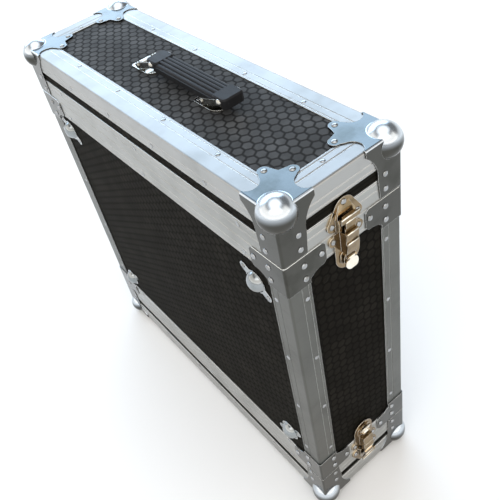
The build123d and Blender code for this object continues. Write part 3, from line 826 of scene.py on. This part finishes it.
@dataclass(frozen=True)
class RivetShape:
    """Domed rivet head. Its profile is given in shares of its radius and height, from under its seat."""

    radius: float
    height: float
    sides: int = 12
    profile: tuple[Span, ...] = (
        (0.0, -0.25),
        (1.0, -0.25),
        (1.0, 0.12),
        (0.88, 0.55),
        (0.55, 0.88),
        (0.0, 1.0),
    )

    def pattern(self) -> bpy.types.Mesh:
        """Spins the head's profile about Z.

        Returns:
            The head as a mesh, with its seat at the origin.
        """
        shape = bmesh.new()
        points = [shape.verts.new((r * self.radius, 0.0, z * self.height)) for r, z in self.profile]
        edges = [shape.edges.new(pair) for pair in zip(points, points[1:])]
        bmesh.ops.spin(
            shape,
            geom=points + edges,
            cent=(0.0, 0.0, 0.0),
            axis=(0.0, 0.0, 1.0),
            dvec=(0.0, 0.0, 0.0),
            angle=math.tau,
            steps=self.sides,
            use_merge=True,
        )
        bmesh.ops.remove_doubles(shape, verts=shape.verts, dist=WELD)
        bmesh.ops.recalc_face_normals(shape, faces=shape.faces)
        return make_mesh("rivet_pattern", shape)


FLUSH_RIVET = RivetShape(3.0 * MM, 0.8 * MM)


@dataclass(frozen=True)
class Spot:
    """Place of a rivet: its seat and the way its head faces."""

    seat: Vector
    facing: Facing

    def matrix(self) -> Matrix:
        """Turns and moves a head from the origin to the spot."""
        turn = self.facing.vector.to_track_quat("Z", "Y").to_matrix().to_4x4()
        return Matrix.Translation(self.seat) @ turn


@dataclass(frozen=True)
class RivetSet:
    """Rivets of one kind on one body, joined in one piece."""

    name: str
    body: str
    slot: str
    shape: RivetShape
    spots: tuple[Spot, ...]
    finish: str = "rivet"

    def build(self, finishes: Finishes) -> bpy.types.Object:
        """Makes the piece and sets it on its body.

        Args:
            finishes: Materials by name.

        Returns:
            The finished piece.
        """
        pattern = self.shape.pattern()
        heads = bmesh.new()
        for spot in self.spots:
            first = len(heads.verts)
            heads.from_mesh(pattern)
            heads.verts.ensure_lookup_table()
            bmesh.ops.transform(heads, matrix=spot.matrix(), verts=heads.verts[first:])
        for face in heads.faces:
            face.smooth = True
        mesh = make_mesh(self.name, heads)
        bpy.data.meshes.remove(pattern)
        mesh.materials.append(finishes[self.finish])
        piece = add_object(self.name, mesh)
        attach(piece, self.body)
        return piece


@dataclass(frozen=True)
class Lid:
    """Rivets of one lid. Distances run from the case's corner along the two edges of a face."""

    body: str
    upper: bool
    sizes: CaseSizes
    lobe_rivets: tuple[Span, ...] = ((50.7 * MM, 32.5 * MM), (32.5 * MM, 50.7 * MM))
    leg_rivet_across: float = 21.5 * MM
    leg_rivets_down: tuple[float, ...] = (38.0 * MM, 56.0 * MM)
    edge_rivet_inset: float = 21.5 * MM
    edge_rivet_pitch: float = 95.6 * MM
    edge_rivets_long: int = 4
    edge_rivets_offset: float = 7.7 * MM
    closing_rivet_up: float = 17.8 * MM
    corner_rivet: RivetShape = RivetShape(3.4 * MM, 1.5 * MM)

    @property
    def outward(self) -> float:
        """1 where the lid opens upwards, -1 where it opens downwards."""
        return 1.0 if self.upper else -1.0

    @property
    def end(self) -> float:
        """Level of the lid's end over its extrusions."""
        return self.sizes.top if self.upper else self.sizes.bottom

    def corner_spots(self) -> Iterable[Spot]:
        """Rivets of the four ball corners.

        Returns:
            The rivets' places.
        """
        sizes = self.sizes
        face = Facing.toward("Z", self.outward)
        for side, front in EDGES:
            for across, deep in self.lobe_rivets:
                x = side * (sizes.half_width - across)
                y = front * (sizes.half_thickness - deep)
                yield Spot(Vector((x, y, self.end + self.outward * sizes.steel)), face)
            for down in self.leg_rivets_down:
                z = self.end - self.outward * down
                yield from sizes.pair(side, front, self.leg_rivet_across, z, sizes.steel)

    def edge_spots(self) -> Iterable[Spot]:
        """Rivets of the edge angles, on both legs of the long ones and the end leg of the short ones.

        Returns:
            The rivets' places, with those of the closing extrusions last.
        """
        sizes = self.sizes
        face = Facing.toward("Z", self.outward)
        level = self.end - self.outward * self.edge_rivet_inset
        for index in range(self.edge_rivets_long):
            x = (index - (self.edge_rivets_long - 1) / 2) * self.edge_rivet_pitch + self.edge_rivets_offset
            for front in (1.0, -1.0):
                yield Spot(Vector((x, front * (sizes.half_thickness - self.edge_rivet_inset), self.end)), face)
                yield Spot(Vector((x, front * sizes.half_thickness, level)), Facing.toward("Y", front))
        for side in (1.0, -1.0):
            yield Spot(Vector((side * (sizes.half_width - self.edge_rivet_inset), 0.0, self.end)), face)
        parting = sizes.upper_parting if self.upper else sizes.lower_parting
        yield from sizes.closing_spots(parting + self.outward * self.closing_rivet_up)

    def rivet_sets(self) -> list[RivetSet]:
        """The lid's rivets as pieces.

        Returns:
            The rivets of the ball corners and of the extrusions.
        """
        body = self.body
        corner, edge = tuple(self.corner_spots()), tuple(self.edge_spots())
        return [
            RivetSet(f"{body}_corner_rivets", body, "zinc_plated_steel", self.corner_rivet, corner),
            RivetSet(f"{body}_edge_rivets", body, "aluminium_extrusion", FLUSH_RIVET, edge),
        ]


@dataclass(frozen=True)
class Sleeve:
    """Rivets of the sleeve.

    Brace rivets and feet are placed from the case's edge and the parting line, a foot after its sign of X.
    """

    sizes: CaseSizes
    body: str = "sleeve"
    brace_rivets: tuple[Span, ...] = (
        (44.5 * MM, 12.5 * MM),
        (22.5 * MM, 12.0 * MM),
        (22.5 * MM, 29.5 * MM),
    )
    angle_rivet_inset: float = 21.5 * MM
    angle_rivet_pitch: float = 95.6 * MM
    angle_rivets: int = 4
    closing_rivet_down: float = 19.4 * MM
    foot_places: tuple[Triple, ...] = ((1.0, 54.0 * MM, 57.0 * MM), (-1.0, 51.0 * MM, 48.5 * MM))
    foot_ear: float = 20.8 * MM
    foot_lean: float = 34.0
    screw_across: float = 29.9 * MM
    screw_down: float = 52.9 * MM
    brace_rivet: RivetShape = RivetShape(3.6 * MM, 1.9 * MM)
    foot_rivet: RivetShape = RivetShape(2.6 * MM, 1.2 * MM)
    panel_screw: RivetShape = RivetShape(4.2 * MM, 0.3 * MM)

    @property
    def ends(self) -> tuple[Span, Span]:
        """The level of each end of the sleeve, and the sign of Z that points into it from there."""
        return (self.sizes.upper_parting, -1.0), (self.sizes.lower_parting, 1.0)

    def brace_spots(self) -> Iterable[Spot]:
        """Rivets of the eight braces.

        Returns:
            The rivets' places.
        """
        for side, front in EDGES:
            for parting, inward in self.ends:
                for across, deep in self.brace_rivets:
                    yield from self.sizes.pair(side, front, across, parting + inward * deep, self.sizes.steel)

    def angle_spots(self) -> Iterable[Spot]:
        """Rivets of the edge angles.

        Returns:
            The rivets' places, with those of the closing extrusions last.
        """
        middle = (self.sizes.upper_parting + self.sizes.lower_parting) / 2
        for side, front in EDGES:
            for index in range(self.angle_rivets):
                z = middle + (index - (self.angle_rivets - 1) / 2) * self.angle_rivet_pitch
                yield from self.sizes.pair(side, front, self.angle_rivet_inset, z, 0.0)
        for parting, inward in self.ends:
            yield from self.sizes.closing_spots(parting + inward * self.closing_rivet_down)

    def foot_spots(self) -> Iterable[Spot]:
        """Rivets in the ears of the domed feet.

        Returns:
            The rivets' places.
        """
        sizes = self.sizes
        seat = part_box("domed_feet")[1].y - sizes.steel
        lean = math.radians(self.foot_lean)
        for side, inset, deep in self.foot_places:
            for parting, inward in self.ends:
                for ear in (self.foot_ear, -self.foot_ear):
                    x = side * (sizes.half_width - inset) + ear * math.cos(lean)
                    z = parting + inward * (deep + ear * math.sin(lean))
                    yield Spot(Vector((x, seat, z)), Facing.FRONT)

    def screw_spots(self) -> Iterable[Spot]:
        """Black screws in the narrow panels.

        Returns:
            The screws' places.
        """
        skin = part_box("sleeve_panel_right")[1].x
        z = self.sizes.upper_parting - self.screw_down
        for side in (1.0, -1.0):
            yield Spot(Vector((side * skin, -self.screw_across, z)), Facing.toward("X", side))

    def rivet_sets(self) -> list[RivetSet]:
        """The sleeve's rivets as pieces.

        Returns:
            The rivets of the braces, the extrusions and the feet, and the panels' screws.
        """
        body = self.body
        brace, angle = tuple(self.brace_spots()), tuple(self.angle_spots())
        foot, screw = tuple(self.foot_spots()), tuple(self.screw_spots())
        black = BoardPlane.NARROW.name
        return [
            RivetSet("sleeve_brace_rivets", body, "zinc_plated_steel", self.brace_rivet, brace),
            RivetSet("sleeve_angle_rivets", body, "aluminium_extrusion", FLUSH_RIVET, angle),
            RivetSet("sleeve_foot_rivets", body, "zinc_plated_steel", self.foot_rivet, foot),
            RivetSet("sleeve_panel_screws", body, "laminated_plywood", self.panel_screw, screw, black),
        ]


@dataclass(frozen=True)
class EdgeHighlightBead:
    """Painted highlights on the edges of a pressed latch piece, as fine pale beads along Y: the middle and half
    length of each.
    """

    name: str
    body: str
    places: tuple[tuple[Vector, float], ...]
    radius: float = 0.8 * MM
    sides: int = 12

    def build(self, finishes: Finishes) -> bpy.types.Object:
        """Makes the beads as one piece on their body.

        Args:
            finishes: Materials by name.

        Returns:
            The finished piece.
        """
        shape = bmesh.new()
        along_y = Matrix.Rotation(math.radians(90.0), 4, "X")
        for middle, half in self.places:
            bmesh.ops.create_cone(
                shape,
                cap_ends=True,
                segments=self.sides,
                radius1=self.radius,
                radius2=self.radius,
                depth=2 * half,
                matrix=Matrix.Translation(middle) @ along_y,
            )
        for face in shape.faces:
            face.smooth = len(face.verts) < self.sides
        mesh = make_mesh(self.name, shape)
        mesh.materials.append(finishes["edge_highlight"])
        piece = add_object(self.name, mesh)
        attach(piece, self.body)
        return piece


@dataclass(frozen=True)
class BraceRimHighlights:
    """Painted highlights along the upper edges of the sleeve's braces, each a fine pale wire bent round the
    case's corner.
    """

    sizes: CaseSizes
    reach: float = 45.5 * MM
    bend: float = 3.6 * MM
    steps: int = 6
    drop: float = 0.55 * MM
    radius: float = 0.6 * MM
    roundness: int = 2

    def corner(self) -> list[Vector]:
        """The wire's course round the case's right back edge.

        Returns:
            The points of the course, from that edge and at the level of Z = 0.
        """
        out = self.radius
        middle = Vector((out - self.bend, out - self.bend, 0.0))
        course = [Vector((-self.reach, out, 0.0))]
        for step in range(self.steps + 1):
            turn = math.radians(90.0 * (1.0 - step / self.steps))
            course.append(middle + self.bend * Vector((math.cos(turn), math.sin(turn), 0.0)))
        course.append(Vector((out, -self.reach, 0.0)))
        return course

    def build(self, finishes: Finishes) -> bpy.types.Object:
        """Makes the eight wires as one piece on the sleeve.

        Args:
            finishes: Materials by name.

        Returns:
            The finished piece.
        """
        curve = bpy.data.curves.new("sleeve_brace_rim_highlights", "CURVE")
        curve.dimensions = "3D"
        curve.bevel_depth = self.radius
        curve.bevel_resolution = self.roundness
        curve.use_fill_caps = True
        sizes = self.sizes
        course = self.corner()
        for level in (sizes.upper_parting - self.drop, sizes.lower_parting + self.drop):
            for side, front in EDGES:
                wire = curve.splines.new("POLY")
                wire.points.add(len(course) - 1)
                for point, place in zip(wire.points, course):
                    x = side * (sizes.half_width + place.x)
                    y = front * (sizes.half_thickness + place.y)
                    point.co = (x, y, level, 1.0)
        curve.materials.append(finishes["zinc_highlight"])
        piece = add_object("sleeve_brace_rim_highlights", curve)
        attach(piece, "sleeve")
        return piece


@dataclass(frozen=True)
class Latch:
    """Rivets and painted edge highlights of one butterfly latch.

    Levels run from the parting line towards the lid. An edge is given by its distance from the case's side,
    its level and its half length.
    """

    end: str
    side: str
    sizes: CaseSizes
    plate: float = 1.5 * MM
    ear: float = 16.5 * MM
    ear_level: float = 9.5 * MM
    crown_level: float = 30.5 * MM
    housing_edges: tuple[Triple, ...] = (
        (10.7 * MM, -1.5 * MM, 7.0 * MM),
        (10.5 * MM, -14.2 * MM, 7.0 * MM),
    )
    claw_edges: tuple[Triple, ...] = (
        (9.4 * MM, 18.5 * MM, 12.0 * MM),
        (9.5 * MM, 12.8 * MM, 6.7 * MM),
    )
    rivet: RivetShape = RivetShape(3.3 * MM, 1.5 * MM, sides=16)

    @property
    def name(self) -> str:
        """What the names of the latch's pieces start with."""
        return f"latch_{self.end}_{self.side}"

    @property
    def outward(self) -> float:
        """1 on the right side of the case, -1 on the left."""
        return 1.0 if self.side == "right" else -1.0

    def level(self, height: float) -> float:
        """Z of a height over the parting line, measured towards the lid."""
        upper = self.end == "top"
        return self.sizes.upper_parting + height if upper else self.sizes.lower_parting - height

    def bead(self, part: str, body: str, edges: tuple[Triple, ...]) -> EdgeHighlightBead:
        """Painted highlights on the edges of one pressed part.

        Args:
            part: The part's name.
            body: The body that it rides on.
            edges: The edges.

        Returns:
            The beads along the edges.
        """
        places = []
        for out, height, half in edges:
            middle = Vector((self.outward * (self.sizes.half_width + out), 0.0, self.level(height)))
            places.append((middle, half))
        return EdgeHighlightBead(f"{self.name}_{part}_edges", body, tuple(places))

    def beads(self) -> list[EdgeHighlightBead]:
        """Painted highlights on the edges of the housing and the claw.

        Returns:
            The beads of each.
        """
        return [
            self.bead("housing", "sleeve", self.housing_edges),
            self.bead("claw", f"{self.name}_claw", self.claw_edges),
        ]

    def spots(self, places: Sequence[Span]) -> tuple[Spot, ...]:
        """Spots on the latch's plates.

        Args:
            places: Y and level of each rivet.

        Returns:
            The spots in the frame.
        """
        x = self.outward * (self.sizes.half_width + self.plate)
        facing = Facing.toward("X", self.outward)
        return tuple(Spot(Vector((x, y, self.level(height))), facing) for y, height in places)

    def rivet_sets(self) -> list[RivetSet]:
        """The latch's rivets as pieces.

        Returns:
            The rivets of the strike, on the lid, and of the base, on the sleeve.
        """
        lid_places = ((0.0, self.crown_level), (self.ear, self.ear_level), (-self.ear, self.ear_level))
        base_places = ((self.ear, -self.ear_level), (-self.ear, -self.ear_level))
        strike, base = self.spots(lid_places), self.spots(base_places)
        slot = "nickel_plated_steel"
        return [
            RivetSet(f"{self.name}_strike_rivets", f"{self.end}_lid", slot, self.rivet, strike),
            RivetSet(f"{self.name}_base_rivets", "sleeve", slot, self.rivet, base),
        ]


@dataclass(frozen=True)
class Handle:
    """Rivets of the handle's brackets."""

    from_left: float = 5.0 * MM
    across: float = 9.0 * MM
    plate: float = 2.0 * MM
    rivet: RivetShape = RivetShape(2.6 * MM, 1.1 * MM)

    def rivet_sets(self) -> list[RivetSet]:
        """The brackets' rivets as one piece.

        Returns:
            A list of that piece alone.
        """
        spots = []
        for side in ("left", "right"):
            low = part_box(f"handle_bracket_{side}")[0]
            for y in (self.across, -self.across):
                spots.append(Spot(Vector((low.x + self.from_left, y, low.z + self.plate)), Facing.UP))
        return [RivetSet("handle_bracket_rivets", "top_lid", "nickel_plated_steel", self.rivet, tuple(spots))]


@dataclass(frozen=True)
class NodeDress:
    """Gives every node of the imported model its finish."""

    nodes: dict[str, bpy.types.Object]
    slots: dict[str, str]

    def finish_name(self, node: str) -> str:
        """Chooses a node's finish.

        Args:
            node: The node's name.

        Returns:
            The key of its finish.
        """
        slot = self.slots[node]
        if slot == "nickel_plated_steel" and node.startswith("handle"):
            return "handle_steel"
        # The latch wings are painted near white: painted highlight where they would face the bright sky.
        if node.endswith("_wing"):
            return "edge_highlight"
        # The sleeve's edge angles get the darker copy: painted shade.
        if node == "sleeve_edge_angles":
            return "shaded_extrusion"
        if "frame" in node:
            return "closing_extrusion"
        # The domed feet get the lighter zinc: painted highlight.
        if node == "domed_feet":
            return "zinc_with_painted_highlight"
        if slot != "laminated_plywood":
            return slot
        if node.endswith("lid_panel"):
            return BoardPlane.LEVEL.name
        if node in ("sleeve_panel_left", "sleeve_panel_right"):
            return BoardPlane.NARROW.name
        return BoardPlane.BROAD.name

    def apply(self, finishes: Finishes) -> None:
        """Puts the finishes on the nodes.

        Args:
            finishes: Materials by slot name or finish, and by plane for the laminate.
        """
        for name, node in self.nodes.items():
            node.data.materials.clear()
            node.data.materials.append(finishes[self.finish_name(name)])
            LOG.info("dressed %s", name)


@dataclass(frozen=True)
class SkyWindow:
    """A bright window in the sky with soft edges. Angles are in degrees, azimuths from +X towards +Y."""

    azimuth: float
    half_width: float
    low: float
    high: float
    radiance: Colour
    soft: float = 8.0

    def glow(self, graph: NodeGraph, direction: Socket) -> Socket:
        """The window's light in a direction.

        Args:
            graph: The sky's node tree.
            direction: Socket of the direction.

        Returns:
            The colour as a vector socket.
        """
        turn = math.radians(self.azimuth)
        level = graph.vector("NORMALIZE", graph.vector("MULTIPLY", direction, (1.0, 1.0, 0.0)))
        axis = (math.cos(turn), math.sin(turn), 0.0)
        closeness = graph.vector("DOT_PRODUCT", level, axis, output="Value")
        sides = tuple(math.cos(math.radians(self.half_width + step)) for step in (self.soft, -self.soft))
        lower = tuple(math.sin(math.radians(self.low + step)) for step in (-self.soft / 2, self.soft / 2))
        upper = tuple(math.sin(math.radians(min(self.high + step, 90.0))) for step in (-self.soft, self.soft))
        rise = graph.axes(direction)["Z"]
        above, below = graph.spread(rise, 0.0, 1.0, lower), graph.spread(rise, 1.0, 0.0, upper)
        height = graph.compute("MULTIPLY", above, below)
        share = graph.compute("MULTIPLY", height, graph.spread(closeness, 0.0, 1.0, sides))
        return graph.scaled(self.radiance, share)


@dataclass(frozen=True)
class Studio:
    """Floor, light and camera. Heights in the sky are sines of the angle over the horizon."""

    floor_reach: float = 30.0
    zenith: Colour = (2.05, 2.1, 2.15)
    zenith_heights: Span = (0.78, 0.97)
    dome: Colour = (0.2, 0.2, 0.2)
    backdrop: Colour = (0.93, 0.93, 0.92)
    backdrop_heights: Span = (0.15, 0.36)
    windows: tuple[SkyWindow, ...] = (
        SkyWindow(azimuth=160.0, half_width=40.0, low=14.0, high=44.0, radiance=(2.75, 3.5, 4.35)),
        SkyWindow(azimuth=-50.0, half_width=100.0, low=8.0, high=45.0, radiance=(1.3, 1.22, 1.12)),
        SkyWindow(azimuth=-38.0, half_width=45.0, low=40.0, high=60.0, radiance=(2.2, 2.2, 2.2), soft=12.0),
    )
    camera_place: Triple = (589.5 * MM, -298.4 * MM, 899.6 * MM)
    camera_turn: Triple = (47.276, 10.029, 51.585)
    lens: float = 46.626
    sensor: float = 36.0
    shift: Span = (0.0251, -0.0463)

    def build(self) -> None:
        """Makes the whole studio."""
        self.floor()
        self.sky()
        self.camera()
        bpy.context.scene.view_settings.view_transform = "Standard"

    def floor(self) -> None:
        """A plain pale floor under the case."""
        shape = bmesh.new()
        bmesh.ops.create_grid(shape, x_segments=1, y_segments=1, size=self.floor_reach)
        mesh = make_mesh("studio_floor", shape)
        mesh.materials.append(FloorPaint().material())
        floor = add_object("studio_floor", mesh)

    def sky(self) -> None:
        """A pale backdrop round the floor and a dim dome above it, with soft bright windows."""
        world = bpy.data.worlds.new("studio_sky")
        bpy.context.scene.world = world
        world.use_nodes = True
        graph = NodeGraph(world.node_tree)
        direction = graph.node("ShaderNodeTexCoord").outputs["Generated"]
        rise = graph.axes(direction)["Z"]
        light = graph.blend(graph.spread(rise, 0.0, 1.0, self.zenith_heights), self.dome, self.zenith)
        light = graph.blend(graph.spread(rise, 0.0, 1.0, self.backdrop_heights), self.backdrop, light)
        for window in self.windows:
            light = graph.vector("ADD", light, window.glow(graph, direction))
        graph.feed(world.node_tree.nodes["Background"].inputs["Color"], light)

    def camera(self) -> None:
        """The photograph's view."""
        lens = bpy.data.cameras.new("camera")
        lens.lens = self.lens
        lens.sensor_width = self.sensor
        lens.shift_x, lens.shift_y = self.shift
        camera = add_object("camera", lens)
        camera.location = self.camera_place
        camera.rotation_euler = Euler([math.radians(angle) for angle in self.camera_turn])
        bpy.context.scene.camera = camera


def make_finishes() -> Finishes:
    """Makes the case's materials.

    Returns:
        The materials by slot name or finish, and by plane for the laminate.
    """
    finishes = {board.plane.name: board.material() for board in (LIT_LID_BOARD, SHADED_BROAD_BOARD, SHADED_NARROW_BOARD)}
    metals = {
        "aluminium_extrusion": EXTRUSION,
        "shaded_extrusion": SHADED_EXTRUSION,
        "closing_extrusion": CLOSING_EXTRUSION,
        "zinc_with_painted_highlight": ZINC_WITH_PAINTED_HIGHLIGHT,
        "nickel_plated_steel": NICKEL,
        "rail_steel": RAIL_ZINC,
        "handle_steel": HANDLE_STEEL,
        "edge_highlight": EDGE_HIGHLIGHT,
        "zinc_highlight": ZINC_HIGHLIGHT,
        "rivet": RIVET_STEEL,
    }
    finishes |= {name: metal.material() for name, metal in metals.items()}
    # Zinc plating with painted light on its tops and a painted highlight on the balls.
    finishes["zinc_plated_steel"] = ZINC.material(BallHighlight.from_frame())
    finishes["grip_plastic"] = GripPlastic().material()
    return finishes


def main() -> None:
    """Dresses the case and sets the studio."""
    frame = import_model()
    logging.basicConfig(level=logging.INFO)
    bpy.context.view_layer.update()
    sizes = CaseSizes.from_frame()
    finishes = make_finishes()
    slots = {part["node"]: part["material_slot"] for part in frame["record"]["subparts"]}
    NodeDress(frame["nodes"], slots).apply(finishes)
    lids = [Lid("top_lid", True, sizes), Lid("bottom_lid", False, sizes)]
    latches = [Latch(end, side, sizes) for end in ("top", "bottom") for side in ("right", "left")]
    for assembly in (*lids, Sleeve(sizes), Handle(), *latches):
        for rivets in assembly.rivet_sets():
            rivets.build(finishes)
            LOG.info("made %s", rivets.name)
    # Pale wires as painted highlights along the braces' upper edges.
    BraceRimHighlights(sizes).build(finishes)
    LOG.info("made sleeve_brace_rim_highlights")
    # Pale beads as painted highlights along the latches' edges.
    for latch in latches:
        for bead in latch.beads():
            bead.build(finishes)
            LOG.info("made %s", bead.name)
    Studio().build()


if __name__ == "__main__":
    main()
